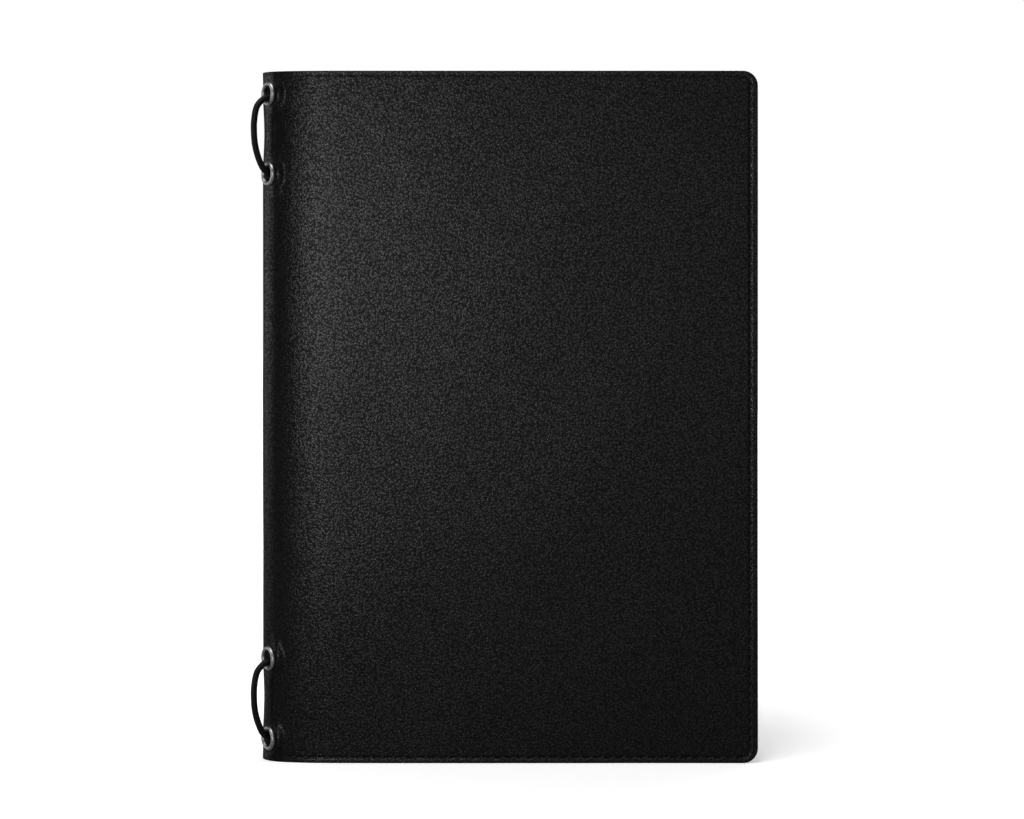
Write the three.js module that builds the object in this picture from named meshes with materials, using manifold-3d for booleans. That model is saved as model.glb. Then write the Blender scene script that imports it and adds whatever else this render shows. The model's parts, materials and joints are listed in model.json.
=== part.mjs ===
// A refillable A5 leather notebook cover, closed and standing on its lower edges.
// Units are millimetres. +Z runs up the spine, +X from the spine to the fore-edge, and the front
// cover faces -Y. The origin is under the middle of the whole object, cord included.

import * as THREE from 'three';
import { mergeVertices } from 'three/addons/utils/BufferGeometryUtils.js';
import Module from 'manifold-3d';

const wasm = await Module();
wasm.setup();

// The closed cover
const coverHeight = 217;
const coverWidth = 156; // from the outermost line of the spine to the fore-edge
const coverThickness = 17; // outer face to outer face, and the width of the round spine
const cornerRadius = 4.7; // at the fore-edge
const foldGap = 0.3; // between the strips that the spine is divided into

// The layers, from the outside in
const leatherThickness = 1.2;
const boardThickness = 1.0;
const liningThickness = 0.6;
const pocketThickness = 0.8;
const glueLine = 0.1;
const edgeBorder = 4; // leather turned in round the board
const boardClearance = 0.3;
const flexWidth = 9; // the part of a cover beside the spine that has no board
const liningInset = 1;
const pocketWidth = 70;
const pocketInset = 1.2;

// Where the spine folds, in degrees round its curve: 0 faces away from the fore-edge, 90 is where
// it meets the front cover and -90 where it meets the back cover
const frontSplit = 75;
const middleSplit = -9;
const rearSplit = -59;
const arcStep = 6; // degrees between the facets of a curve

// Eyelets
const eyeletAngle = 34.5; // round the spine, towards the front
const flatDepth = 0.75; // how far the spine is flattened inwards at the eyelets
const flatReach = 40; // degrees on each side of the eyelets over which it is flattened
const eyeletEnd = 7; // from the end of the spine to the first eyelet
const eyeletPitch = 25.2; // between the two eyelets of a pair
const eyeletBore = 2.5; // radius
const barrelWall = 0.3;
const rimRadius = 3.85;
const rimHeight = 1.0;
const rimSeat = 0.35; // how deep the rim sits in the leather
const washerThickness = 0.4;
const washerRadius = 3.6;
const rollHeight = 0.55;
const rollRadius = 3.4;
const runningClearance = 0.1;
const holeClearance = 0.15;

// Elastic cord
const cordRadius = 1.0;
const archHeight = 5.05; // of the cord's centreline above the leather
const cordClearance = 0.4; // to the bore that it leans against
const strandClearance = 0.9; // from an inner run to the eyelets' rolled ends
const strandGap = 0.5; // from the inner run without the crimp to the crimp
const crimpLength = 12;
const crimpWall = 0.55;
const crimpClearance = 0.25;
const cordEndGap = 1; // between the cord's two ends inside the crimp

// Places that follow from the sizes
const rad = THREE.MathUtils.degToRad;
const spineRadius = coverThickness / 2;
const archRadius = spineRadius - flatDepth + archHeight;
const archReach = archRadius * Math.cos(rad(eyeletAngle)) + cordRadius - spineRadius;
const foreEdgeX = (coverWidth + archReach) / 2;
const spineX = foreEdgeX - coverWidth + spineRadius;
const boardFace = spineRadius - leatherThickness; // distance of a layer's outer face from y = 0
const liningFace = boardFace - boardThickness - 2 * glueLine;
const pocketFace = liningFace - liningThickness - glueLine;
const spineLiningRadius = boardFace - glueLine;
const eyeletHeights = [
  coverHeight - eyeletEnd,
  coverHeight - eyeletEnd - eyeletPitch,
  eyeletEnd + eyeletPitch,
  eyeletEnd,
];

// Heights along an eyelet's axis, from the outer face of the leather outwards
const barrelRadius = eyeletBore + barrelWall;
const rimUnderside = runningClearance - rimSeat;
const spineInnerRadius = spineLiningRadius - liningThickness;
const washerTop = Math.sqrt(spineInnerRadius ** 2 - washerRadius ** 2) - spineRadius - runningClearance;
const rollTop = washerTop - washerThickness - runningClearance;
const rollBottom = rollTop - rollHeight;

// The cord's inner runs
const strandDepth = cordRadius + strandClearance - rollBottom;
const crimpRadius = cordRadius + crimpClearance + crimpWall;
const strandSpacing = crimpRadius + cordRadius + strandGap;
const lean = eyeletBore - cordRadius - cordClearance; // of the cord off the middle of a bore

// Materials
const material = (color, roughness, metalness = 0) =>
  new THREE.MeshStandardMaterial({ color, roughness, metalness });

const finishes = {
  leather: () => material(0x141415, 0.55),
  pocketLeather: () => material(0x18181a, 0.6),
  lining: () => material(0x1c1c1e, 0.9),
  board: () => material(0x8a8478, 0.95),
  nickel: () => material(0x8d8d8f, 0.35, 1),
  elastic: () => material(0x0d0d0e, 0.6),
};

// A solid that can be joined and cut, from a closed geometry
function solidOf(geometry) {
  const bare = geometry.clone();
  bare.deleteAttribute('normal');
  bare.deleteAttribute('uv');
  const merged = mergeVertices(bare, 1e-4);
  return new wasm.Manifold(
    new wasm.Mesh({
      numProp: 3,
      vertProperties: new Float32Array(merged.attributes.position.array),
      triVerts: new Uint32Array(merged.index.array),
    }),
  );
}

function geometryOf(solid) {
  const { vertProperties, triVerts } = solid.getMesh();
  const geometry = new THREE.BufferGeometry();
  geometry.setAttribute('position', new THREE.BufferAttribute(vertProperties, 3));
  geometry.setIndex(new THREE.BufferAttribute(triVerts, 1));
  geometry.computeVertexNormals();
  return geometry;
}

function piece(name, geometry, finish) {
  const mesh = new THREE.Mesh(geometry, finish());
  mesh.name = name;
  return mesh;
}

// The direction out of the spine at an angle round its curve
function outOfSpine(angle) {
  return new THREE.Vector2(-Math.cos(rad(angle)), -Math.sin(rad(angle)));
}

// A point of the spine's section, at an angle round the curve and a radius from its centre. The
// curve is flattened about the eyelets.
function onSpine(angle, radius) {
  const share = Math.min(1, Math.abs(angle - eyeletAngle) / flatReach);
  const inward = flatDepth * Math.cos((share * Math.PI) / 2) ** 2;
  return outOfSpine(angle).multiplyScalar(radius - inward).add(new THREE.Vector2(spineX, 0));
}

function arc(radius, from, to) {
  const steps = Math.max(1, Math.ceil(Math.abs(to - from) / arcStep));
  return Array.from({ length: steps + 1 }, (_, i) => onSpine(from + ((to - from) * i) / steps, radius));
}

// A section in the XY plane, drawn up through the height from zLow to zHigh
function upright(points, zLow, zHigh) {
  const geometry = new THREE.ExtrudeGeometry(new THREE.Shape(points), {
    depth: zHigh - zLow,
    bevelEnabled: false,
  });
  return geometry.translate(0, 0, zLow);
}

// A flat sheet in the XZ plane with rounded corners at the fore-edge, its outer face at a distance
// from y = 0. side is 1 for the front cover and -1 for the back cover.
function sheet(side, outerFace, thickness, fromX, toX, zLow, zHigh, radius) {
  const outline = new THREE.Shape();
  outline.moveTo(fromX, zLow);
  outline.lineTo(toX - radius, zLow);
  outline.absarc(toX - radius, zLow + radius, radius, -Math.PI / 2, 0, false);
  outline.lineTo(toX, zHigh - radius);
  outline.absarc(toX - radius, zHigh - radius, radius, 0, Math.PI / 2, false);
  outline.lineTo(fromX, zHigh);
  outline.closePath();
  const geometry = new THREE.ExtrudeGeometry(outline, {
    depth: thickness,
    bevelEnabled: false,
    curveSegments: 6,
  });
  geometry.rotateX(Math.PI / 2);
  const lowY = side > 0 ? -outerFace : outerFace - thickness;
  return geometry.translate(0, lowY + thickness, 0);
}

// Half the fold gap, as an angle at the outer face of the leather
const gapAngle = THREE.MathUtils.radToDeg(foldGap / 2 / spineRadius);

// The end of a cover's own part of the spine's curve
const coverArcEnd = (side) => (side > 0 ? frontSplit + gapAngle : rearSplit - gapAngle);

// The outer leather of one cover, with its edges turned in round the board
function coverLeather(side) {
  const skin = upright(
    [
      ...arc(spineRadius, coverArcEnd(side), side * 90),
      new THREE.Vector2(foreEdgeX, -side * spineRadius),
      new THREE.Vector2(foreEdgeX, -side * boardFace),
      ...arc(boardFace, side * 90, coverArcEnd(side)),
    ],
    0,
    coverHeight,
  );
  const outline = sheet(
    side, coverThickness, 2 * coverThickness, spineX - coverThickness, foreEdgeX, 0, coverHeight,
    cornerRadius,
  );
  const turnedIn = sheet(
    side, spineRadius - leatherThickness / 2, leatherThickness / 2 + boardThickness + glueLine,
    spineX + flexWidth, foreEdgeX, 0, coverHeight, cornerRadius,
  );
  const boardSpace = sheet(
    side, boardFace, boardThickness + coverThickness, spineX, foreEdgeX - edgeBorder, edgeBorder,
    coverHeight - edgeBorder, cornerRadius / 2,
  );
  const border = solidOf(turnedIn).subtract(solidOf(boardSpace));
  return geometryOf(solidOf(skin).add(border).intersect(solidOf(outline)));
}

function stiffener(side) {
  const margin = edgeBorder + boardClearance;
  return sheet(
    side, boardFace - glueLine, boardThickness, spineX + flexWidth + boardClearance,
    foreEdgeX - margin, margin, coverHeight - margin, cornerRadius / 2,
  );
}

// The lining of one cover steps down from the board to the thinner wall of the spine
function coverLining(side) {
  const innerFace = liningFace - liningThickness;
  const rampStart = spineX + boardClearance;
  const rampEnd = spineX + flexWidth - liningInset;
  const edge = foreEdgeX - liningInset;
  const section = upright(
    [
      ...arc(spineLiningRadius, coverArcEnd(side), side * 90),
      new THREE.Vector2(rampStart, -side * spineLiningRadius),
      new THREE.Vector2(rampEnd, -side * liningFace),
      new THREE.Vector2(edge, -side * liningFace),
      new THREE.Vector2(edge, -side * innerFace),
      new THREE.Vector2(rampEnd, -side * innerFace),
      new THREE.Vector2(rampStart, -side * spineInnerRadius),
      ...arc(spineInnerRadius, side * 90, coverArcEnd(side)),
    ],
    liningInset,
    coverHeight - liningInset,
  );
  const outline = sheet(
    side, coverThickness, 2 * coverThickness, spineX - coverThickness, edge, liningInset,
    coverHeight - liningInset, cornerRadius - liningInset,
  );
  return geometryOf(solidOf(section).intersect(solidOf(outline)));
}

function pocket(side) {
  const edge = foreEdgeX - pocketInset;
  return sheet(
    side, pocketFace, pocketThickness, edge - pocketWidth, edge, pocketInset,
    coverHeight - pocketInset, cornerRadius - pocketInset,
  );
}

// A strip of the spine between two of its folds
function spineStrip(outerRadius, thickness, fromAngle, toAngle, inset) {
  const section = [
    ...arc(outerRadius, fromAngle + gapAngle, toAngle - gapAngle),
    ...arc(outerRadius - thickness, toAngle - gapAngle, fromAngle + gapAngle),
  ];
  return upright(section, inset, coverHeight - inset);
}

// An eyelet's own frame: its origin on the leather's outer face and +Y straight out of the spine
const eyeletOut = outOfSpine(eyeletAngle);
const eyeletCentre = onSpine(eyeletAngle, spineRadius);
const eyeletTurn = new THREE.Quaternion().setFromUnitVectors(
  new THREE.Vector3(0, 1, 0),
  new THREE.Vector3(eyeletOut.x, eyeletOut.y, 0),
);
const eyeletPlace = (height) =>
  new THREE.Matrix4().compose(
    new THREE.Vector3(eyeletCentre.x, eyeletCentre.y, height),
    eyeletTurn,
    new THREE.Vector3(1, 1, 1),
  );

function eyelet() {
  const rimTop = rimUnderside + rimHeight;
  const rimMiddle = (barrelRadius + rimRadius) / 2;
  const profile = [
    new THREE.Vector2(eyeletBore, rollBottom + rollHeight / 2),
    new THREE.Vector2(barrelRadius, rollBottom),
    new THREE.Vector2(rollRadius - barrelWall / 2, rollBottom),
    new THREE.Vector2(rollRadius, rollBottom + rollHeight / 2),
    new THREE.Vector2(rollRadius, rollTop),
    new THREE.Vector2(barrelRadius, rollTop),
    new THREE.Vector2(barrelRadius, rimUnderside),
    new THREE.Vector2(rimRadius, rimUnderside),
    new THREE.Vector2(rimRadius, rimUnderside + rimHeight / 2),
    new THREE.Vector2(rimMiddle + 0.3 * rimHeight, rimTop - 0.1 * rimHeight),
    new THREE.Vector2(rimMiddle, rimTop),
    new THREE.Vector2(eyeletBore + 0.3 * barrelWall, rimTop - 0.2 * rimHeight),
    new THREE.Vector2(eyeletBore, rimTop - 0.5 * rimHeight),
  ];
  return new THREE.LatheGeometry([...profile, profile[0].clone()], 32);
}

function eyeletWasher() {
  const bore = barrelRadius + runningClearance;
  const profile = [
    new THREE.Vector2(bore, washerTop - washerThickness),
    new THREE.Vector2(washerRadius, washerTop - washerThickness),
    new THREE.Vector2(washerRadius, washerTop),
    new THREE.Vector2(bore, washerTop),
  ];
  return new THREE.LatheGeometry([...profile, profile[0].clone()], 32);
}

// The strip that carries the eyelets, with a hole for each barrel and a flat seat for each rim
function punched(strip) {
  const hole = new THREE.CylinderGeometry(
    barrelRadius + holeClearance, barrelRadius + holeClearance, coverThickness, 32,
  );
  const seat = new THREE.CylinderGeometry(
    rimRadius + holeClearance, rimRadius + holeClearance, coverThickness, 32,
  ).translate(0, coverThickness / 2 - rimSeat, 0);
  let solid = solidOf(strip);
  for (const height of eyeletHeights) {
    const place = eyeletPlace(height);
    solid = solid.subtract(solidOf(hole.clone().applyMatrix4(place)));
    solid = solid.subtract(solidOf(seat.clone().applyMatrix4(place)));
  }
  return geometryOf(solid);
}

// A point of the cord: its height, its distance out from the leather and its shift to the rear
function cordPoint([height, out, shift = 0]) {
  const along = onSpine(eyeletAngle, spineRadius + out);
  const across = outOfSpine(eyeletAngle - 90).multiplyScalar(shift);
  return new THREE.Vector3(along.x + across.x, along.y + across.y, height);
}

// The arch from an upper eyelet to the one below it, from bore to bore
function archFrom(upper) {
  return [
    [upper - lean, -1.4],
    [upper - lean, 0],
    [upper - lean - 0.5, 1.6],
    [upper - lean - 2.8, 3.9],
    [upper - 8.2, archHeight - 0.1],
    [upper - 12.2, archHeight],
    [upper - 16.2, archHeight - 0.4],
    [upper - 20.4, 3.4],
    [upper - 23.5, 1.75],
    [upper - eyeletPitch + 0.45, 0.1],
    [upper - eyeletPitch + 0.3, -1.4],
  ];
}

// A path whose sweep spends its steps where its points are close together
class CordRoute extends THREE.CatmullRomCurve3 {
  getUtoTmapping(u) {
    return u;
  }
}

const middleHeight = coverHeight / 2;
const [first, second, third, fourth] = eyeletHeights;

// From the crimp up to the first eyelet, out and down through the pair, along the inside to the
// lower pair, and back up to the crimp
const cordRoute = [
  [middleHeight + cordEndGap / 2, -strandDepth, strandSpacing],
  [middleHeight + 30, -strandDepth, strandSpacing],
  [first - 16, -strandDepth, strandSpacing],
  [first - 8, -strandDepth, 0.9 * strandSpacing],
  [first - lean - 3.1, -strandDepth + 0.1, 0.5 * strandSpacing],
  [first - lean - 0.9, -strandDepth + 1.0, 0.18 * strandSpacing],
  [first - lean, -strandDepth + 2.4],
  ...archFrom(first),
  [second + 0.1, -strandDepth + 2.5],
  [second - 0.8, -strandDepth + 0.9],
  [second - 2.6, -strandDepth + 0.1],
  [second - 6, -strandDepth],
  [middleHeight + 20, -strandDepth],
  [middleHeight - 20, -strandDepth],
  [third + 6, -strandDepth],
  [third + 1.4, -strandDepth + 0.2],
  [third - lean + 0.6, -strandDepth + 1.2],
  [third - lean, -strandDepth + 2.7],
  ...archFrom(third),
  [fourth + 0.4, -strandDepth + 2.6],
  [fourth + 1.4, -strandDepth + 0.9, 0.18 * strandSpacing],
  [fourth + 3.4, -strandDepth + 0.1, 0.5 * strandSpacing],
  [fourth + 7.2, -strandDepth, 0.9 * strandSpacing],
  [fourth + 16, -strandDepth, strandSpacing],
  [middleHeight - 30, -strandDepth, strandSpacing],
  [middleHeight - cordEndGap / 2, -strandDepth, strandSpacing],
].map(cordPoint);

function elasticCord() {
  const section = new THREE.Shape();
  section.absarc(0, 0, cordRadius, 0, 2 * Math.PI, false);
  return new THREE.ExtrudeGeometry(section, {
    steps: 2 * (cordRoute.length - 1),
    curveSegments: 8,
    extrudePath: new CordRoute(cordRoute, false, 'centripetal'),
  });
}

function crimpSleeve() {
  const bore = cordRadius + crimpClearance;
  const half = crimpLength / 2;
  const profile = [
    new THREE.Vector2(bore, -half),
    new THREE.Vector2(crimpRadius, -half),
    new THREE.Vector2(crimpRadius, half),
    new THREE.Vector2(bore, half),
  ];
  return new THREE.LatheGeometry([...profile, profile[0].clone()], 24).rotateX(Math.PI / 2);
}

// The assembly
const cover = new THREE.Group();

function addCover(side, name) {
  const group = new THREE.Group();
  group.add(piece(`${name}_cover_leather`, coverLeather(side), finishes.leather));
  group.add(piece(`${name}_stiffener`, stiffener(side), finishes.board));
  group.add(piece(`${name}_lining`, coverLining(side), finishes.lining));
  group.add(piece(`${name}_pocket`, pocket(side), finishes.pocketLeather));
  cover.add(group);
}

addCover(1, 'front');
addCover(-1, 'back');

const spine = new THREE.Group();
const leatherStrip = (from, to) => spineStrip(spineRadius, leatherThickness, from, to, 0);
const liningStrip = (from, to) =>
  spineStrip(spineLiningRadius, liningThickness, from, to, liningInset);
spine.add(
  piece('spine_leather', punched(leatherStrip(middleSplit, frontSplit)), finishes.leather),
  piece('spine_lining', punched(liningStrip(middleSplit, frontSplit)), finishes.lining),
  piece('spine_leather_rear', leatherStrip(rearSplit, middleSplit), finishes.leather),
  piece('spine_lining_rear', liningStrip(rearSplit, middleSplit), finishes.lining),
);
cover.add(spine);

eyeletHeights.forEach((height, i) => {
  const set = new THREE.Group();
  set.applyMatrix4(eyeletPlace(height));
  set.add(piece(`eyelet_${i + 1}`, eyelet(), finishes.nickel));
  set.add(piece(`eyelet_washer_${i + 1}`, eyeletWasher(), finishes.nickel));
  cover.add(set);
});

cover.add(piece('elastic_cord', elasticCord(), finishes.elastic));
const crimp = piece('cord_crimp', crimpSleeve(), finishes.nickel);
crimp.position.copy(cordPoint([middleHeight, -strandDepth, strandSpacing]));
cover.add(crimp);

export default cover;
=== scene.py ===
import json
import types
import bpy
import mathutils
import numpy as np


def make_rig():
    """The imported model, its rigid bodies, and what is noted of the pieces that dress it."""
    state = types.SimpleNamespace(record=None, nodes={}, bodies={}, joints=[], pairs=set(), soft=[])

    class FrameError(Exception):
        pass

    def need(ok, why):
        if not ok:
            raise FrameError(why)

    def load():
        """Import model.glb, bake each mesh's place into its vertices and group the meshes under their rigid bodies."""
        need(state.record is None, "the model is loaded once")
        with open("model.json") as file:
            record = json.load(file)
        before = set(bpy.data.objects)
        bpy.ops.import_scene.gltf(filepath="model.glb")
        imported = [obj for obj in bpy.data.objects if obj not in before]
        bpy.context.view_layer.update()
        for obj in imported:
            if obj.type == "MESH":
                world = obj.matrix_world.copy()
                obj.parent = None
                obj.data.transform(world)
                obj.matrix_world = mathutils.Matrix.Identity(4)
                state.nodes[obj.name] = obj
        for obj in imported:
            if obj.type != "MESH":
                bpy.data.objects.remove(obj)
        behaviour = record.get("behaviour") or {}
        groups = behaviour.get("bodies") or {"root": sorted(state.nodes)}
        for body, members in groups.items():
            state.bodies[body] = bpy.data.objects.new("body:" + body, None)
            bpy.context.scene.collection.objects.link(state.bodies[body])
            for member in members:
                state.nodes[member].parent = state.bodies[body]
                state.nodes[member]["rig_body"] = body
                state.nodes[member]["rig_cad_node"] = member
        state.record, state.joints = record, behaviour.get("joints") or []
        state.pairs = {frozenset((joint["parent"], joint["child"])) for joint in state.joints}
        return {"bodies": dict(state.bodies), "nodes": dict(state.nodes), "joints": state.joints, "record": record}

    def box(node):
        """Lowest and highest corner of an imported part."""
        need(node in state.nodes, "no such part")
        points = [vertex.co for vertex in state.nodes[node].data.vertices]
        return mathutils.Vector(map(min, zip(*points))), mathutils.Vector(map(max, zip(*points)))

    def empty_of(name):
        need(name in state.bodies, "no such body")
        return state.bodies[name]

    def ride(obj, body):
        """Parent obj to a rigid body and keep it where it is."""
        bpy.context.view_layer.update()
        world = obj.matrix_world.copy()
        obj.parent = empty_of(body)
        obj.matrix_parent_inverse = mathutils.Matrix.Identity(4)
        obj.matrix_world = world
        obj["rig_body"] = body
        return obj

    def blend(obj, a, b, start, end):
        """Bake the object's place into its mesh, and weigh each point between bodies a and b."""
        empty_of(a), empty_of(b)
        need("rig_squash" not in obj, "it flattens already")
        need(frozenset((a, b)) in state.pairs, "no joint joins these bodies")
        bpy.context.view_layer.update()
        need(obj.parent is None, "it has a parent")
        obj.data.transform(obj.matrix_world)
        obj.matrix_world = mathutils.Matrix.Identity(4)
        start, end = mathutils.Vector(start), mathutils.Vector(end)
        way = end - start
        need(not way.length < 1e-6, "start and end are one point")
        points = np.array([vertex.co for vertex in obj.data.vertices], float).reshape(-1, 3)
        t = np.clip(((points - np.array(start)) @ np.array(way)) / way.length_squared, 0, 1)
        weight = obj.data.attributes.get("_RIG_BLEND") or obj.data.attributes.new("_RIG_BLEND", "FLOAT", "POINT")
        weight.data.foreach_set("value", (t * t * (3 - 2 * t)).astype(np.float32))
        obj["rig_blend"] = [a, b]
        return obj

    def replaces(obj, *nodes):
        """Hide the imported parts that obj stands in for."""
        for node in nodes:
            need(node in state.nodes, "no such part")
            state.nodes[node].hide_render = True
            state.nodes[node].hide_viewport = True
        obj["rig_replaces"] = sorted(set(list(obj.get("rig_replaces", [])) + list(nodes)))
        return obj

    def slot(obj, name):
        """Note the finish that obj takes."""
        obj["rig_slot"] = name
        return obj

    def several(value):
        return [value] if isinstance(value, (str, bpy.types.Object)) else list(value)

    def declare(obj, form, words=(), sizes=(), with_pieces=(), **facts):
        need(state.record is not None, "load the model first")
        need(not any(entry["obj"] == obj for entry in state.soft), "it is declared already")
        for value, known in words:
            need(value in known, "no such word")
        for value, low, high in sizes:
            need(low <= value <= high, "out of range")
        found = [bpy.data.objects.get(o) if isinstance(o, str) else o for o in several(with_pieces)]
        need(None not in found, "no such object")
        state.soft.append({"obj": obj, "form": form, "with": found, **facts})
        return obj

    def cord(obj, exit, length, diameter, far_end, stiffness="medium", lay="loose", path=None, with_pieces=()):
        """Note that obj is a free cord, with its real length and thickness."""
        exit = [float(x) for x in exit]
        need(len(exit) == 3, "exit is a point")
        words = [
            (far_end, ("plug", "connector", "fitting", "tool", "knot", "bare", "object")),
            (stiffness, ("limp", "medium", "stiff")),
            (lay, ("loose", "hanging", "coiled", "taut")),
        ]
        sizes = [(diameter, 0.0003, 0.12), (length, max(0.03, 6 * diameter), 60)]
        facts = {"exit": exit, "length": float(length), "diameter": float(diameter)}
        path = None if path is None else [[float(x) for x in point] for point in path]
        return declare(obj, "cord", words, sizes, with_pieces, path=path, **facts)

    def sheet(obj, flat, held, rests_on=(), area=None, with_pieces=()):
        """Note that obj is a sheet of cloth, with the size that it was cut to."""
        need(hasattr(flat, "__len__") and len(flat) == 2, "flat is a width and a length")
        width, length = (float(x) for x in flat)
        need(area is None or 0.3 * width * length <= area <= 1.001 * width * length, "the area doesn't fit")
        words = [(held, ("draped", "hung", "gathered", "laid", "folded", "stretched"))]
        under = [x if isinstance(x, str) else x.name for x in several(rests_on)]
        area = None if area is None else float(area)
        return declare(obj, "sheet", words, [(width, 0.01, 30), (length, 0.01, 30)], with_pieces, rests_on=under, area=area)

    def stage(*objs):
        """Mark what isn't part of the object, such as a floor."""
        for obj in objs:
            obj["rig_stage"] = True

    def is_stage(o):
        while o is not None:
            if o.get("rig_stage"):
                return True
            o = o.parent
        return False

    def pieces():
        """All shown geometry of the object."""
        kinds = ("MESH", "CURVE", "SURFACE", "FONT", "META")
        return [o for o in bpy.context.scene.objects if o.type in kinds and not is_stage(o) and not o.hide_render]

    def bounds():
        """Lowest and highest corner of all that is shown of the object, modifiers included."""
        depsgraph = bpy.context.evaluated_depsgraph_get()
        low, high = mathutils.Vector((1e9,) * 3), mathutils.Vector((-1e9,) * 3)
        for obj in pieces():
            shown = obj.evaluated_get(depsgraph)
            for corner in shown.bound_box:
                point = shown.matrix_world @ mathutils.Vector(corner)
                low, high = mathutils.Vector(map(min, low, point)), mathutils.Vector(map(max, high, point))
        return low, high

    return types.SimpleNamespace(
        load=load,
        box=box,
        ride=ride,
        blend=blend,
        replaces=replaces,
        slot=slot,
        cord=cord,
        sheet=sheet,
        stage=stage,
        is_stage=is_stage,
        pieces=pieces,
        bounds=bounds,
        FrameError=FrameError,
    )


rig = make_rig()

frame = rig.load()
cad_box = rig.bounds()

import json
import math

import bmesh
import bpy
from mathutils import Matrix, Vector

# A refillable A5 leather notebook cover, closed and standing on its lower edges, in metres. +Z runs
# up the spine, +X from the spine to the fore-edge, and the front cover faces -Y.

# The cover's sizes
COVER_WIDTH = 0.156
LEATHER = 0.0012
TURNED_IN = 0.0023  # the skin and the leather turned in round the board
FLEX = 0.0090  # the part of a cover beside the spine that has no board
CORNER = 0.0047
LINING = 0.0006
LINING_INSET = 0.0010
POCKET = 0.0008
POCKET_INSET = 0.0012
POCKET_WIDTH = 0.070
GLUE = 0.0001
EDGE_ROUNDING = 0.0002
EYELET_ANGLE = math.radians(34.5)
FLATTENED = 0.00075  # how far in from the plain curve the eyelets sit
HOLE_RADIUS = 0.00295
EYELET_SQUARE = 0.0044  # round each eyelet, in which the lines turn from a grid to rings
SHOULDER_FALL = 0.0013
SHOULDER_REACH = 0.020
WAIST = 0.00035  # how far the cord draws the spine in
FLARE = 0.00012  # of the spine's ends
GROOVE = 0.00016  # depth of the pressed seam
GROOVE_WIDTH = 0.00042
SEAT = 0.00027  # of an eyelet's rim in the leather
PAD_START = 0.0037  # where the leather drawn flat round an eyelet begins to rise again
PAD = 0.0075
PAD_FLATNESS = 0.9
PAD_REACH = 0.0046  # how far from the eyelet's middle the pad follows the flat

front_low, front_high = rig.box("front_cover_leather")
HEIGHT = front_high.z
SPINE_RADIUS = -front_low.y
SPINE_X = front_high.x - COVER_WIDTH + SPINE_RADIUS
EYELET_HEIGHTS = [sum(c.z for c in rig.box(f"eyelet_{i}")) / 2 for i in (1, 2, 3, 4)]

# Distances along the outer face from the outermost line of the spine, towards the front
QUARTER = SPINE_RADIUS * math.pi / 2
FORE_EDGE = QUARTER + front_high.x - SPINE_X
EYELET_AROUND = SPINE_RADIUS * EYELET_ANGLE
FRONT_SEAM = SPINE_RADIUS * math.radians(2)
REAR_SEAM = SPINE_RADIUS * math.radians(-28)

LINING_DEPTH = TURNED_IN + GLUE  # of the lining's glued face over the board
SPINE_LINING_DEPTH = LEATHER + GLUE
POCKET_DEPTH = LINING_DEPTH + LINING + GLUE


def ease(low, high, value):
    """0 below low, 1 above high, and smooth between."""
    t = min(1.0, max(0.0, (value - low) / (high - low)))
    return t * t * (3 - 2 * t)


def mix(a, b, share):
    return a + (b - a) * share


# The shape of the cover


def place(around, height, depth):
    """The point at a distance round the section, a height, and a depth in from the plain outer face."""
    radius = SPINE_RADIUS - depth
    beyond = abs(around) - QUARTER
    if beyond > 0:
        return Vector((SPINE_X + beyond, math.copysign(radius, -around), height))
    angle = around / SPINE_RADIUS
    return Vector((SPINE_X - radius * math.cos(angle), -radius * math.sin(angle), height))


def outward(around):
    angle = max(-math.pi / 2, min(math.pi / 2, around / SPINE_RADIUS))
    return Vector((-math.cos(angle), -math.sin(angle), 0))


def shoulder(around):
    """A cover falls away before it turns into the spine, so the section is fuller than a half round."""
    beyond = abs(around) - QUARTER
    if beyond > SHOULDER_REACH:
        return 0.0
    if beyond > 0:
        return SHOULDER_FALL * (1 - beyond / SHOULDER_REACH) ** 3
    t = -beyond / QUARTER
    slope = 3 * SHOULDER_FALL / SHOULDER_REACH * QUARTER
    return SHOULDER_FALL * (2 * t**3 - 3 * t**2 + 1) + slope * (t**3 - 2 * t**2 + t)


def waist(around, height):
    """The cord draws the spine in between the two eyelets of a pair, and its ends flare."""
    round_it = math.cos(math.pi / 2 * min(1, abs(around - 0.0007) / 0.0065)) ** 2
    drawn = 0.0
    for upper, lower in (EYELET_HEIGHTS[0:2], EYELET_HEIGHTS[2:4]):
        if lower < height < upper:
            drawn = WAIST * math.sin(math.pi * (height - lower) / (upper - lower)) ** 2
    end = min(height, HEIGHT - height)
    return round_it * (drawn - FLARE * (1 - ease(0.0, 0.006, end)))


def unevenness(around, height):
    """The slight unevenness of a hide over a board."""
    a, h = around * 1000, height * 1000
    waves = (
        0.045 * math.sin(0.061 * a + 0.037 * h + 0.6)
        + 0.035 * math.sin(-0.043 * a + 0.083 * h + 2.1)
        + 0.020 * math.sin(0.127 * a - 0.071 * h + 4.0)
        + 0.012 * math.sin(0.21 * a + 0.19 * h + 1.3)
    )
    return 0.001 * waves


def hide_depth(around, height):
    """How deep the outer face of the leather lies under the plain section, away from its edges."""
    depth = shoulder(around) + waist(around, height) + unevenness(around, height)
    for eyelet_height in EYELET_HEIGHTS:
        a, h = around - EYELET_AROUND, height - eyelet_height
        away = math.hypot(a, h)
        if away < PAD:
            off = abs(a) / (1 + (abs(a) / PAD_REACH) ** 6) ** (1 / 6) / SPINE_RADIUS
            flat = SPINE_RADIUS - (SPINE_RADIUS - FLATTENED - SEAT) / math.cos(off)
            depth = mix(depth, flat, PAD_FLATNESS * (1 - ease(PAD_START, PAD, away)))
    return depth


# The seam runs along the lower edge from the spine, up the fore-edge and back along the upper edge.
LOWER_SEAM = 0.0017  # in from the edge
FORE_SEAM = 0.0023
UPPER_SEAM = 0.0013
SEAM_START = 0.0003  # beyond the spine
UPPER_GROOVE_SHARE = 0.3  # the seam is pressed less along the upper edge


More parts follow.
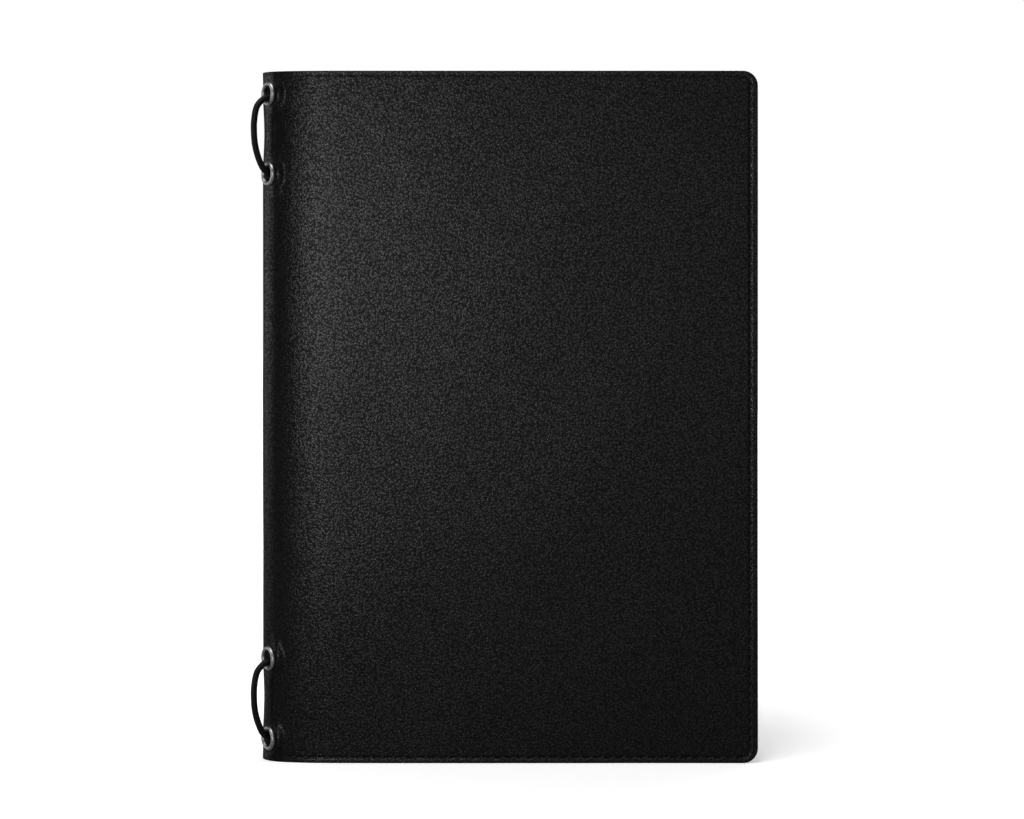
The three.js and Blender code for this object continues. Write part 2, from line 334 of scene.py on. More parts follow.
def seam_inset(run, rise, upper):
    """How far in from the edge the seam runs, at a point this far from the fore-edge and an end."""
    end_seam = UPPER_SEAM if upper else LOWER_SEAM
    if run >= CORNER or rise >= CORNER:
        return FORE_SEAM if run < rise else end_seam
    angle = math.atan2(CORNER - rise, CORNER - run)
    return mix(FORE_SEAM, end_seam, angle / (math.pi / 2))


def rounded(run, rise, radius):
    """Takes a point of a corner's square, run and rise from its sides, to rings round its centre."""
    p, q = radius - run, radius - rise
    if p <= 0 or q <= 0:
        return run, rise
    ring = max(p, q)
    angle = math.pi / 4 * (q / p if p >= q else 2 - p / q)
    return radius - ring * math.cos(angle), radius - ring * math.sin(angle)


def soften(edge, radius):
    """How far a rounded edge falls, at a distance in from it."""
    if edge >= radius:
        return 0.0
    return radius - math.sqrt(max(0.0, radius**2 - (radius - edge) ** 2))


def spread(marks, pitch):
    """The marks in order, with lines added so that no gap is wider than the pitch there."""
    kept = []
    for mark in sorted(marks):
        if not kept or mark - kept[-1] > 0.00003:
            kept.append(mark)
    lines = [kept[0]]
    for low, high in zip(kept, kept[1:]):
        count = max(1, math.ceil((high - low) / pitch((low + high) / 2) - 1e-6))
        lines += [mix(low, high, k / count) for k in range(1, count + 1)]
    return lines


EDGE_LINES = [
    0.00001 * n
    for n in (
        *(0, 4, 11, 21, 33, 45, 70, 95, 115, 130, 145, 160, 175, 190, 205, 220, 235, 250, 270, 300),
        *(340, 385, 400, 470),
    )
]
EYELET_LINES = [s * r for r in (HOLE_RADIUS, 0.0034, 0.0039, EYELET_SQUARE) for s in (-1, 1)]


def new_piece(name, bm, materials, smooth_below=40):
    bmesh.ops.recalc_face_normals(bm, faces=bm.faces)
    mesh = bpy.data.meshes.new(name)
    bm.to_mesh(mesh)
    bm.free()
    mesh.shade_smooth()
    mesh.set_sharp_from_angle(angle=math.radians(smooth_below))
    for material in materials:
        mesh.materials.append(material)
    piece = bpy.data.objects.new(name, mesh)
    bpy.context.scene.collection.objects.link(piece)
    return piece


def leaf(name, across, up, face, under, materials, inset=0.0, corner=None, holes=False, mouth=None,
         outer_round=EDGE_ROUNDING, inner_round=0.0002, groove=0.0, painted=True):
    """A layer of the cover: a closed sheet between two depths, on lines across and up.

    face and under give the depths of its two sides from (around, height, edge). A layer that reaches
    the fore-edge has round corners there. mouth is the place of a free edge beside the spine."""
    corner = CORNER - inset if corner is None else corner
    reach, top = FORE_EDGE - inset, HEIGHT - inset
    has_fore_edge = max(abs(across[0]), abs(across[-1])) > reach - 1e-6
    wall = [(0.3, 0.0), (0.48, 0.0), (0.55, 0.00009), (0.62, 0.0), (0.8, 0.0)]
    bm = bmesh.new()
    stored = bm.verts.layers.float_vector.new("hide")
    rub = bm.verts.layers.float.new("rub")
    layers = {}

    def vertex(key, around, height, depth, edge):
        v = bm.verts.new(place(around, height, depth))
        v[stored] = (around, depth, height)
        v[rub] = 1 - ease(0.0, 0.006, edge)
        layers[key] = v

    for i, a in enumerate(across):
        for j, h in enumerate(up):
            run = reach - abs(a) if has_fore_edge else 1.0
            upper = h > HEIGHT / 2
            rise = max(0.0, top - h if upper else h - inset)
            edge = min(run, rise)
            run, rise = rounded(run, rise, corner)
            around = math.copysign(reach - run, a) if has_fore_edge else a
            height = top - rise if upper else inset + rise
            if holes:
                for eyelet_height in EYELET_HEIGHTS:
                    p, q = around - EYELET_AROUND, height - eyelet_height
                    ring = max(abs(p), abs(q))
                    if 0 < ring < EYELET_SQUARE:
                        share = 1 - ease(HOLE_RADIUS, EYELET_SQUARE, ring)
                        p, q = (mix(c, c * ring / math.hypot(p, q), share) for c in (p, q))
                        around, height = EYELET_AROUND + p, eyelet_height + q
            free = edge if mouth is None else min(edge, abs(abs(a) - mouth))
            line = seam_inset(run + inset, rise + inset, upper) - inset
            on_seam = abs(around) > QUARTER + SEAM_START - 0.001
            sunk = UPPER_GROOVE_SHARE * groove if upper and rise < run else groove
            pressed = sunk * math.exp(-(((edge - line) / GROOVE_WIDTH) ** 2)) if on_seam else 0.0
            outer = face(around, height, edge) + soften(free, outer_round) + pressed
            inner = under(around, height, edge) - soften(free, inner_round)
            vertex((i, j, 0), around, height, outer, edge)
            vertex((i, j, len(wall) + 1), around, height, inner, edge)
            border = i in (0, len(across) - 1) or j in (0, len(up) - 1)
            around_hole = holes and any(
                max(abs(a - EYELET_AROUND), abs(h - z)) < HOLE_RADIUS + 1e-5 for z in EYELET_HEIGHTS
            )
            if border or around_hole:
                for k, (share, dent) in enumerate(wall):
                    dent *= ease(LEATHER, TURNED_IN, inner - outer + soften(free, outer_round))
                    if edge > 1e-6 or mouth is not None:
                        dent = 0.0
                    shift = math.copysign(dent, a) if run < 1e-6 and has_fore_edge else 0.0
                    lift = (-dent if upper else dent) if rise < 1e-6 else 0.0
                    vertex((i, j, k + 1), around - shift, height + lift, mix(outer, inner, share), edge)

    def open_cell(i, j):
        a, h = (across[i] + across[i + 1]) / 2, (up[j] + up[j + 1]) / 2
        return holes and any(
            max(abs(a - EYELET_AROUND), abs(h - z)) < HOLE_RADIUS for z in EYELET_HEIGHTS
        )

    cells = [
        (i, j)
        for i in range(len(across) - 1)
        for j in range(len(up) - 1)
        if not open_cell(i, j)
    ]
    inside = len(wall) + 1
    uses = {}
    for i, j in cells:
        ring = [(i, j), (i + 1, j), (i + 1, j + 1), (i, j + 1)]
        outer_face = bm.faces.new([layers[(*c, 0)] for c in ring])
        inner_face = bm.faces.new([layers[(*c, inside)] for c in reversed(ring)])
        at_edge = painted and max(v[rub] for v in outer_face.verts) > 1 - 1e-3
        if at_edge and min(v[rub] for v in outer_face.verts) > 1 - ease(0.0, 0.006, 0.0005):
            outer_face.material_index = len(materials) - 1
        for a, b in zip(ring, ring[1:] + ring[:1]):
            uses.setdefault(frozenset((a, b)), []).append((a, b))
    for used in uses.values():
        if len(used) == 1:
            a, b = used[0]
            for k in range(inside):
                rim = bm.faces.new(
                    [layers[(*b, k)], layers[(*a, k)], layers[(*a, k + 1)], layers[(*b, k + 1)]]
                )
                rim.material_index = len(materials) - 1
    for v in [v for v in bm.verts if not v.link_faces]:
        bm.verts.remove(v)
    return new_piece(name, bm, materials)


def up_lines(inset, fine):
    marks = [inset + e for e in EDGE_LINES] + [HEIGHT - inset - e for e in EDGE_LINES]
    marks += [z + e for z in EYELET_HEIGHTS for e in EYELET_LINES]

    def pitch(height):
        near = min(abs(height - z) for z in EYELET_HEIGHTS)
        return 0.0006 if near < 0.003 else 0.0011 if near < 0.016 else fine

    return spread(marks, pitch)


def cover_lines(start, inset, fine, with_eyelets):
    reach = FORE_EDGE - inset
    marks = [start, QUARTER, QUARTER + FLEX - 0.0001, QUARTER + FLEX + 0.0001]
    marks += [reach - e for e in EDGE_LINES]
    if with_eyelets:
        marks += [EYELET_AROUND + e for e in EYELET_LINES]
    marks = [m for m in marks if start <= m <= reach + 1e-9]
    return spread(marks, lambda a: 0.0005 if a < QUARTER + 0.003 else 0.0012 if a < 0.03 else fine)


# Materials


def shader_group(name, inputs, outputs):
    """A shader node group with named sockets. inputs holds (name, kind, default)."""
    group = bpy.data.node_groups.new(name, "ShaderNodeTree")
    for socket_name, kind, default in inputs:
        socket = group.interface.new_socket(socket_name, in_out="INPUT", socket_type=kind)
        if default is not None:
            socket.default_value = default
    for socket_name, kind in outputs:
        group.interface.new_socket(socket_name, in_out="OUTPUT", socket_type=kind)
    return group, group.nodes.new("NodeGroupInput"), group.nodes.new("NodeGroupOutput")


def math_node(tree, operation, a, b=None, clamp=False):
    node = tree.nodes.new("ShaderNodeMath")
    node.operation = operation
    node.use_clamp = clamp
    for socket, value in zip(node.inputs, (a, b)):
        if value is None:
            continue
        if isinstance(value, (int, float)):
            socket.default_value = value
        else:
            tree.links.new(value, socket)
    return node.outputs[0]


def remap(tree, value, from_low, from_high, to_low, to_high):
    node = tree.nodes.new("ShaderNodeMapRange")
    tree.links.new(value, node.inputs["Value"])
    for name, number in zip(
        ("From Min", "From Max", "To Min", "To Max"), (from_low, from_high, to_low, to_high)
    ):
        node.inputs[name].default_value = number
    return node.outputs["Result"]


def noise(tree, vector, scale, detail=3.0, roughness=0.5, output="Fac"):
    node = tree.nodes.new("ShaderNodeTexNoise")
    node.inputs["Scale"].default_value = scale
    node.inputs["Detail"].default_value = detail
    node.inputs["Roughness"].default_value = roughness
    tree.links.new(vector, node.inputs["Vector"])
    return node.outputs[output]


def stretched(tree, vector, scale, turn=(0, 0, 0)):
    node = tree.nodes.new("ShaderNodeMapping")
    node.inputs["Scale"].default_value = scale
    node.inputs["Rotation"].default_value = turn
    tree.links.new(vector, node.inputs["Vector"])
    return node.outputs["Vector"]


def scaled(tree, vector, factor):
    node = tree.nodes.new("ShaderNodeVectorMath")
    node.operation = "SCALE"
    tree.links.new(vector, node.inputs["Vector"])
    if isinstance(factor, (int, float)):
        node.inputs["Scale"].default_value = factor
    else:
        tree.links.new(factor, node.inputs["Scale"])
    return node.outputs["Vector"]


def grain_group():
    """Pebbled leather: height, the share of crease, and a slow change of tone."""
    group, given, result = shader_group(
        "pebbled grain",
        [("Place", "NodeSocketVector", None), ("Pebbles per metre", "NodeSocketFloat", 900.0)],
        [("Height", "NodeSocketFloat"), ("Crease", "NodeSocketFloat"), ("Tone", "NodeSocketFloat")],
    )
    spot = given.outputs["Place"]
    in_pebbles = scaled(group, spot, given.outputs["Pebbles per metre"])
    wander = scaled(group, noise(group, in_pebbles, 0.7, 2.0, output="Color"), 0.9)
    bent = group.nodes.new("ShaderNodeVectorMath")
    bent.operation = "ADD"
    group.links.new(in_pebbles, bent.inputs[0])
    group.links.new(wander, bent.inputs[1])
    pebbles = group.nodes.new("ShaderNodeTexVoronoi")
    pebbles.feature = "SMOOTH_F1"
    pebbles.inputs["Scale"].default_value = 1.0
    pebbles.inputs["Smoothness"].default_value = 0.35
    pebbles.inputs["Randomness"].default_value = 1.0
    group.links.new(bent.outputs[0], pebbles.inputs["Vector"])
    small = group.nodes.new("ShaderNodeTexVoronoi")
    small.feature = "F1"
    small.inputs["Scale"].default_value = 2.3
    group.links.new(bent.outputs[0], small.inputs["Vector"])
    dome = remap(group, pebbles.outputs["Distance"], 0.05, 0.75, 1.0, 0.0)
    low_dome = remap(group, small.outputs["Distance"], 0.0, 0.8, 1.0, 0.0)
    lines = noise(group, stretched(group, in_pebbles, (0.22, 0.6, 1.3), (0, 0.9, 0)), 1.0, 3.0)
    pores = noise(group, in_pebbles, 6.0, 2.0)
    height = math_node(group, "MULTIPLY", dome, 0.62)
    height = math_node(group, "ADD", height, math_node(group, "MULTIPLY", low_dome, 0.30))
    height = math_node(group, "ADD", height, math_node(group, "MULTIPLY", lines, 0.18))
    height = math_node(group, "ADD", height, math_node(group, "MULTIPLY", pores, 0.16))
    group.links.new(height, result.inputs["Height"])
    group.links.new(remap(group, height, 0.38, 1.02, 1.0, 0.0), result.inputs["Crease"])
    group.links.new(noise(group, spot, 26.0, 3.0), result.inputs["Tone"])
    return group


def weave_group():
    """Plain woven cloth or braid: height over and under two sets of threads."""
    group, given, result = shader_group(
        "weave",
        [
            ("Place", "NodeSocketVector", None),
            ("Threads per metre", "NodeSocketFloat", 3000.0),
        ],
        [("Height", "NodeSocketFloat"), ("Thread", "NodeSocketFloat")],
    )
    in_threads = scaled(group, given.outputs["Place"], given.outputs["Threads per metre"])
    parts = group.nodes.new("ShaderNodeSeparateXYZ")
    group.links.new(in_threads, parts.inputs[0])
    across = math_node(group, "SINE", math_node(group, "MULTIPLY", parts.outputs["X"], math.pi))
    along = math_node(group, "SINE", math_node(group, "MULTIPLY", parts.outputs["Z"], math.pi))
    over = math_node(group, "MULTIPLY", across, along)
    rounds = math_node(
        group, "ADD", math_node(group, "ABSOLUTE", across), math_node(group, "ABSOLUTE", along)
    )
    height = math_node(group, "ADD", math_node(group, "MULTIPLY", rounds, 0.35),
                       math_node(group, "MULTIPLY", over, 0.3))
    group.links.new(height, result.inputs["Height"])
    group.links.new(remap(group, over, -1, 1, 0, 1), result.inputs["Thread"])
    return group


def scuff_group():
    """Fine scratches and dulled spots on metal or paint."""
    group, given, result = shader_group(
        "scuffs",
        [("Place", "NodeSocketVector", None), ("Scratches per metre", "NodeSocketFloat", 900.0)],
        [("Height", "NodeSocketFloat"), ("Dull", "NodeSocketFloat")],
    )
    at = scaled(group, given.outputs["Place"], given.outputs["Scratches per metre"])
    lines = noise(group, stretched(group, at, (0.15, 1.4, 1.4), (0.4, 0.5, 0.2)), 1.0, 4.0, 0.6)
    spots = noise(group, at, 0.35, 3.0)
    group.links.new(lines, result.inputs["Height"])
    both = math_node(group, "ADD", math_node(group, "MULTIPLY", lines, 0.5),
                     math_node(group, "MULTIPLY", spots, 0.5))
    group.links.new(remap(group, both, 0.35, 0.65, 0.0, 1.0), result.inputs["Dull"])
    return group


GRAIN, WEAVE, SCUFFS = grain_group(), weave_group(), scuff_group()


class Finish:
    """A material under construction: its tree, its Principled shader and where its patterns lie."""

    def __init__(self, name, attribute=None, **uniform):
        self.material = bpy.data.materials.new(name)
        self.material.use_nodes = True
        self.tree = self.material.node_tree
        self.shader = self.tree.nodes["Principled BSDF"]
        for socket, value in uniform.items():
            self.shader.inputs[socket.replace("_", " ")].default_value = value
        if attribute:
            node = self.tree.nodes.new("ShaderNodeAttribute")
            node.attribute_name = attribute
            self.place = node.outputs["Vector"]
        else:
            self.place = self.tree.nodes.new("ShaderNodeTexCoord").outputs["Object"]

    def group(self, tree, **values):
        node = self.tree.nodes.new("ShaderNodeGroup")
        node.node_tree = tree
        for socket, value in values.items():
            node.inputs[socket.replace("_", " ")].default_value = value
        self.tree.links.new(self.place, node.inputs["Place"])
        return node.outputs

    def colour(self, share, low, high):
        node = self.tree.nodes.new("ShaderNodeMix")
        node.data_type = "RGBA"
        self.tree.links.new(share, node.inputs[0])
        node.inputs[6].default_value = (*low, 1)
        node.inputs[7].default_value = (*high, 1)
        self.tree.links.new(node.outputs[2], self.shader.inputs["Base Color"])

    def roughness(self, value):
        self.tree.links.new(value, self.shader.inputs["Roughness"])

    def bump(self, height, distance, coat=False):
        node = self.tree.nodes.new("ShaderNodeBump")
        node.inputs["Distance"].default_value = distance
        self.tree.links.new(height, node.inputs["Height"])
        self.tree.links.new(node.outputs["Normal"], self.shader.inputs["Normal"])
        if coat:
            self.tree.links.new(node.outputs["Normal"], self.shader.inputs["Coat Normal"])


def leather(name, pebbles, low, high, depth, rough=(0.42, 0.55), gloss=(0.76, 0.07)):
    """Dyed grain under a finish that lies on the tops of the pebbles and is thin in the creases, with the colour
    darkened in the creases as painted shade.
    """
    finish = Finish(name, "hide", Specular_IOR_Level=0.06, Coat_Roughness=0.23)
    grain = finish.group(GRAIN, Pebbles_per_metre=pebbles)
    tree = finish.tree
    rubbed = tree.nodes.new("ShaderNodeAttribute")
    rubbed.attribute_name = "rub"
    tone = math_node(tree, "MULTIPLY", grain["Tone"], 0.5)
    # The colour follows the hide's own slow change of tone, and is darkened in the creases as painted shade.
    share = math_node(tree, "SUBTRACT", math_node(tree, "ADD", tone, 0.5),
                      math_node(tree, "MULTIPLY", grain["Crease"], 0.6), clamp=True)
    finish.colour(share, low, high)
    rough_value = remap(tree, grain["Crease"], 0, 1, *rough)
    worn = math_node(tree, "MULTIPLY", rubbed.outputs["Fac"], 0.07)
    finish.roughness(math_node(tree, "SUBTRACT", rough_value, worn))
    tree.links.new(remap(tree, grain["Crease"], 0, 1, *gloss), finish.shader.inputs["Coat Weight"])
    finish.bump(grain["Height"], depth, coat=True)
    return finish.material


def woven(name, threads, low, high, depth, attribute="hide", rough=(0.8, 0.95), **uniform):
    finish = Finish(name, attribute, **uniform)
    cloth = finish.group(WEAVE, Threads_per_metre=threads)
    finish.colour(cloth["Thread"], low, high)
    finish.roughness(remap(finish.tree, cloth["Height"], 0, 1, rough[1], rough[0]))
    finish.bump(cloth["Height"], depth)
    return finish.material


def smooth_finish(name, scratches, low, high, depth, rough, attribute=None, **uniform):
    finish = Finish(name, attribute, **uniform)
    marks = finish.group(SCUFFS, Scratches_per_metre=scratches)
    finish.colour(marks["Dull"], low, high)
    finish.roughness(remap(finish.tree, marks["Dull"], 0, 1, *rough))
    finish.bump(marks["Height"], depth)
    return finish.material


COVER_LEATHER = leather(
    "cover leather", 1450, (0.0020, 0.0020, 0.0021), (0.0042, 0.0041, 0.0042), 0.000046
)
POCKET_LEATHER = leather(
    "pocket leather", 1300, (0.006, 0.006, 0.0062), (0.012, 0.012, 0.012), 0.00012
)
EDGE_PAINT = smooth_finish(
    "edge paint", 1500, (0.0022, 0.0022, 0.0022), (0.0045, 0.0045, 0.0045), 0.00002, (0.5, 0.62),
    "hide", Specular_IOR_Level=0.06,
)
LINING_CLOTH = woven("lining cloth", 3400, (0.010, 0.010, 0.011), (0.022, 0.022, 0.023), 0.00005)
THREAD = woven(
    "sewing thread", 5200, (0.006, 0.006, 0.006), (0.015, 0.015, 0.0153), 0.00005,
    attribute="hide", rough=(0.5, 0.65), Specular_IOR_Level=0.25,
)
# Near-black and rough: painted shade standing in for the shade inside the needle holes.
NEEDLE_HOLE_SHADE = smooth_finish(
    "needle hole shade", 2500, (0.0006, 0.0006, 0.0006), (0.0015, 0.0015, 0.0015), 0.00001,
    (0.85, 0.95), "hide", Specular_IOR_Level=0.1,
)
ELASTIC = woven(
    "braided elastic", 3300, (0.0022, 0.0022, 0.0024), (0.005, 0.005, 0.0053), 0.00005,
    attribute="hide", rough=(0.42, 0.55), Specular_IOR_Level=0.16,
)
NICKEL = smooth_finish(
    "dark nickel", 1400, (0.26, 0.26, 0.265), (0.40, 0.395, 0.39), 0.00001, (0.3, 0.5), Metallic=1.0
)
STEEL = smooth_finish(
    "brushed steel", 2200, (0.42, 0.42, 0.42), (0.55, 0.55, 0.54), 0.00001, (0.28, 0.45), Metallic=1.0
)
CARD = smooth_finish("grey board", 700, (0.16, 0.15, 0.13), (0.26, 0.25, 0.22), 0.00006, (0.9, 0.98))


# The elastic cord, first because its length and its places are fixed by the cover

CORD_RADIUS = 0.0010
ARCH_HEIGHT = 0.00505
EYELET_PITCH = EYELET_HEIGHTS[0] - EYELET_HEIGHTS[1]
LEAN = 0.0011  # of the cord off the middle of a bore
STRAND_DEPTH = 0.00602
STRAND_SPACING = 0.0033
STRAND = -STRAND_DEPTH


def cord_point(height, out, shift=0.0):
    """A point of the cord: its height, its distance out from the leather and its shift to the rear."""
    reach = SPINE_RADIUS - FLATTENED + out
    c, s = math.cos(EYELET_ANGLE), math.sin(EYELET_ANGLE)
    return Vector((SPINE_X - reach * c - shift * s, -reach * s + shift * c, height))


def arch_from(upper):
    return [
        (upper - LEAN, -0.0014),
        (upper - LEAN, 0.0),
        (upper - LEAN - 0.0005, 0.0016),
        (upper - LEAN - 0.0028, 0.0039),
        (upper - 0.0082, ARCH_HEIGHT - 0.0001),
        (upper - 0.0122, ARCH_HEIGHT),
        (upper - 0.0162, ARCH_HEIGHT - 0.0004),
        (upper - 0.0204, 0.0034),
        (upper - 0.0235, 0.00175),
        (upper - EYELET_PITCH + 0.00045, 0.0001),
        (upper - EYELET_PITCH + 0.0003, -0.0014),
    ]


first, second, third, fourth = EYELET_HEIGHTS
middle = HEIGHT / 2
cord_route = [
    (middle + 0.0005, STRAND, STRAND_SPACING),
    (middle + 0.030, STRAND, STRAND_SPACING),
    (first - 0.016, STRAND, STRAND_SPACING),
    (first - 0.008, STRAND, 0.9 * STRAND_SPACING),
    (first - LEAN - 0.0031, STRAND + 0.0001, 0.5 * STRAND_SPACING),
    (first - LEAN - 0.0009, STRAND + 0.0010, 0.18 * STRAND_SPACING),
    (first - LEAN, STRAND + 0.0024),
    *arch_from(first),
    (second + 0.0001, STRAND + 0.0025),
    (second - 0.0008, STRAND + 0.0009),
    (second - 0.0026, STRAND + 0.0001),
    (second - 0.006, STRAND),
    (middle + 0.020, STRAND),
    (middle - 0.020, STRAND),
    (third + 0.006, STRAND),
    (third + 0.0014, STRAND + 0.0002),
    (third - LEAN + 0.0006, STRAND + 0.0012),
    (third - LEAN, STRAND + 0.0027),
    *arch_from(third),
    (fourth + 0.0004, STRAND + 0.0026),
    (fourth + 0.0014, STRAND + 0.0009, 0.18 * STRAND_SPACING),
    (fourth + 0.0034, STRAND + 0.0001, 0.5 * STRAND_SPACING),
    (fourth + 0.0072, STRAND, 0.9 * STRAND_SPACING),
    (fourth + 0.016, STRAND, STRAND_SPACING),
    (middle - 0.030, STRAND, STRAND_SPACING),
    (middle - 0.0005, STRAND, STRAND_SPACING),
]


def smooth_line(points, step):
    """A centripetal Catmull-Rom curve through the points."""
    ends = [2 * points[0] - points[1], *points, 2 * points[-1] - points[-2]]
    line = [points[0]]
    for p0, p1, p2, p3 in zip(ends, ends[1:], ends[2:], ends[3:]):
        t1 = (p1 - p0).length ** 0.5
        t2 = t1 + (p2 - p1).length ** 0.5
        t3 = t2 + (p3 - p2).length ** 0.5
        count = max(4, math.ceil((p2 - p1).length / step))
        for k in range(1, count + 1):
            t = mix(t1, t2, k / count)
            a1 = p0.lerp(p1, t / t1)
            a2 = p1.lerp(p2, (t - t1) / (t2 - t1))
            a3 = p2.lerp(p3, (t - t2) / (t3 - t2))
            b1, b2 = a1.lerp(a2, t / t2), a2.lerp(a3, (t - t1) / (t3 - t1))
            line.append(b1.lerp(b2, (t - t1) / (t2 - t1)))
    return line


def tube(bm, line, radius, sides, texture_at=None, caps=True):
    """A round tube along a line. radius is a number or a function of the share of the length."""
    stored = bm.verts.layers.float_vector.get("hide") or bm.verts.layers.float_vector.new("hide")
    lengths = [0.0]
    for a, b in zip(line, line[1:]):
        lengths.append(lengths[-1] + (b - a).length)
    tangent = (line[1] - line[0]).normalized()
    side = tangent.orthogonal().normalized()
    rings = []
    for n, point in enumerate(line):
        ahead = line[min(n + 1, len(line) - 1)] - line[max(n - 1, 0)]
        turn = tangent.rotation_difference(ahead.normalized())
        side = (turn @ side).normalized()
        tangent = ahead.normalized()
        up = tangent.cross(side)
        r = radius(lengths[n] / lengths[-1]) if callable(radius) else radius
        ring = []
        for k in range(sides):
            angle = 2 * math.pi * k / sides
            v = bm.verts.new(point + r * (math.cos(angle) * side + math.sin(angle) * up))
            v[stored] = (r * angle, 0.0, lengths[n])
            ring.append(v)
        rings.append(ring)
    for low, high in zip(rings, rings[1:]):
        for k in range(sides):
            bm.faces.new([low[k], low[(k + 1) % sides], high[(k + 1) % sides], high[k]])
    if caps:
        bm.faces.new(list(reversed(rings[0])))
        bm.faces.new(rings[-1])
    return lengths[-1]


cord_line = smooth_line([cord_point(*p) for p in cord_route], 0.0007)
bm = bmesh.new()
cord_length = tube(bm, cord_line, CORD_RADIUS, 20)
elastic_cord = new_piece("braided_elastic_cord", bm, [ELASTIC], 60)


def turned(name, profile, origin, axis, segments, material, dent=None):
    """A part turned round an axis, from (radius, height) points of its closed section."""
    turn = Vector((0, 0, 1)).rotation_difference(Vector(axis)).to_matrix().to_4x4()
    at = Matrix.Translation(origin) @ turn
    bm = bmesh.new()
    rings = []
    for k in range(segments):
        angle = 2 * math.pi * k / segments
        ring = []
        for radius, height in profile:
            r = dent(radius, height, angle) if dent else radius
            ring.append(bm.verts.new(at @ Vector((r * math.cos(angle), r * math.sin(angle), height))))
        rings.append(ring)
    for a, b in zip(rings, rings[1:] + rings[:1]):
        for k in range(len(profile)):
            n = (k + 1) % len(profile)
            bm.faces.new([a[k], b[k], b[n], a[n]])
    return new_piece(name, bm, [material], 50)


def bend(centre, radius, start, end, steps, rise=None):
    """Points of an arc of a section, from one angle to another in degrees."""
    rise = radius if rise is None else rise
    angles = [math.radians(mix(start, end, k / steps)) for k in range(steps + 1)]
    return [(centre[0] + radius * math.cos(a), centre[1] + rise * math.sin(a)) for a in angles]


# Eyelets and washers
BORE, BARREL, RIM = 0.0025, 0.0028, 0.00385
ROLL, ROLL_TOP, ROLL_BOTTOM = 0.0034, -0.00357, -0.00412
WASHER_TOP, WASHER, WASHER_RADIUS = -0.00307, 0.0004, 0.0036
rim_middle, rim_half = (BORE + RIM) / 2, (RIM - BORE) / 2
eyelet_section = [
    *bend((rim_middle, -0.00005), rim_half, 0, 180, 16, rise=0.0008),
    (BORE, -0.001),
    (BORE, -0.003),
    *bend((BARREL + 0.00012, ROLL_BOTTOM + 0.00042), 0.00042, 180, 270, 5),
    *bend((ROLL - 0.00027, ROLL_BOTTOM + 0.00027), 0.00027, -90, 90, 8),
    (BARREL + 0.00005, ROLL_TOP),
    (BARREL, ROLL_TOP + 0.00005),
    (BARREL, -0.0028),
    (BARREL, -0.0003),
    (BARREL + 0.00008, -0.00025),
    (RIM - 0.0001, -0.00025),
    (RIM - 0.00002, -0.00017),
]
washer_section = [
    (BARREL + 0.0001, WASHER_TOP - WASHER),
    (WASHER_RADIUS - 0.0001, WASHER_TOP - WASHER),
    (WASHER_RADIUS, WASHER_TOP - WASHER + 0.0001),
    (WASHER_RADIUS, WASHER_TOP - 0.0001),
    (WASHER_RADIUS - 0.0001, WASHER_TOP),
    (BARREL + 0.0001, WASHER_TOP),
]
for number, height in enumerate(EYELET_HEIGHTS, 1):
    centre = cord_point(height, 0.0)
    out = outward(EYELET_AROUND)
    eyelet = turned(f"rolled_eyelet_{number}", eyelet_section, centre, out, 72, NICKEL)
    washer = turned(f"backing_washer_{number}", washer_section, centre, out, 48, NICKEL)
    for piece, node in ((eyelet, f"eyelet_{number}"), (washer, f"eyelet_washer_{number}")):
        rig.replaces(piece, node)
        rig.slot(piece, "eyelet_metal")
        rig.ride(piece, "spine_front")

# The crimp sleeve, pinched on each end of the cord
CRIMP_HALF = 0.006
CRIMP_BORE, CRIMP_RADIUS = CORD_RADIUS + 0.00025, CORD_RADIUS + 0.0008


def pinch(radius, height, angle):
    near = min(abs(abs(height) - 0.0030), abs(height) + 0.001)
    pressed = math.exp(-((near / 0.0009) ** 2)) * math.cos(angle) ** 2
    return radius - 0.00018 * pressed


crimp_heights = [mix(-CRIMP_HALF, CRIMP_HALF, k / 32) for k in range(33)]
crimp_section = [(CRIMP_BORE, h) for h in crimp_heights[1:-1]]
crimp_section += [(CRIMP_BORE + 0.0001, CRIMP_HALF), (CRIMP_RADIUS - 0.0001, CRIMP_HALF)]
crimp_section += [(CRIMP_RADIUS, h) for h in reversed(crimp_heights[1:-1])]
crimp_section += [(CRIMP_RADIUS - 0.0001, -CRIMP_HALF), (CRIMP_BORE + 0.0001, -CRIMP_HALF)]
crimp = turned(
    "pinched_crimp_sleeve", crimp_section, cord_point(middle, STRAND, STRAND_SPACING), (0, 0, 1), 40,
    STEEL, pinch,
)
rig.replaces(crimp, "cord_crimp")
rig.slot(crimp, "crimp_metal")
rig.ride(crimp, "spine_front")

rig.replaces(elastic_cord, "elastic_cord")
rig.slot(elastic_cord, "elastic")
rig.ride(elastic_cord, "spine_front")
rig.cord(
    elastic_cord,
    exit=cord_line[0],
    length=cord_length,
    diameter=2 * CORD_RADIUS,
    far_end="object",
    stiffness="limp",
    lay="taut",
    path=cord_line,
    with_pieces=[crimp],
)

# Where each fold's leather turns from one body to the next

ARC = SPINE_RADIUS * math.pi / 180  # one degree round the spine
FOLDS = {
    "front": ("spine_front", "front_cover", 62 * ARC, QUARTER + 0.003),
    "middle": ("spine_rear", "spine_front", -24 * ARC, -1 * ARC),
    "rear": ("back_cover", "spine_rear", -QUARTER - 0.001, -40 * ARC),
}


def fold(piece, name):
    a, b, start, end = FOLDS[name]
    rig.blend(piece, a, b, place(start, HEIGHT / 2, 0), place(end, HEIGHT / 2, 0))


# The outer leather


def skin_under(around, height, edge):
    """The leather is thicker along its edges, where it is turned in round the board."""
    turned_in = ease(QUARTER + FLEX - 0.00015, QUARTER + FLEX + 0.00015, abs(around))
    turned_in *= 1 - ease(0.00385, 0.0040, edge)
    return mix(LEATHER, TURNED_IN, turned_in) + shoulder(around)


def skin_face(around, height, edge):
    return hide_depth(around, height)


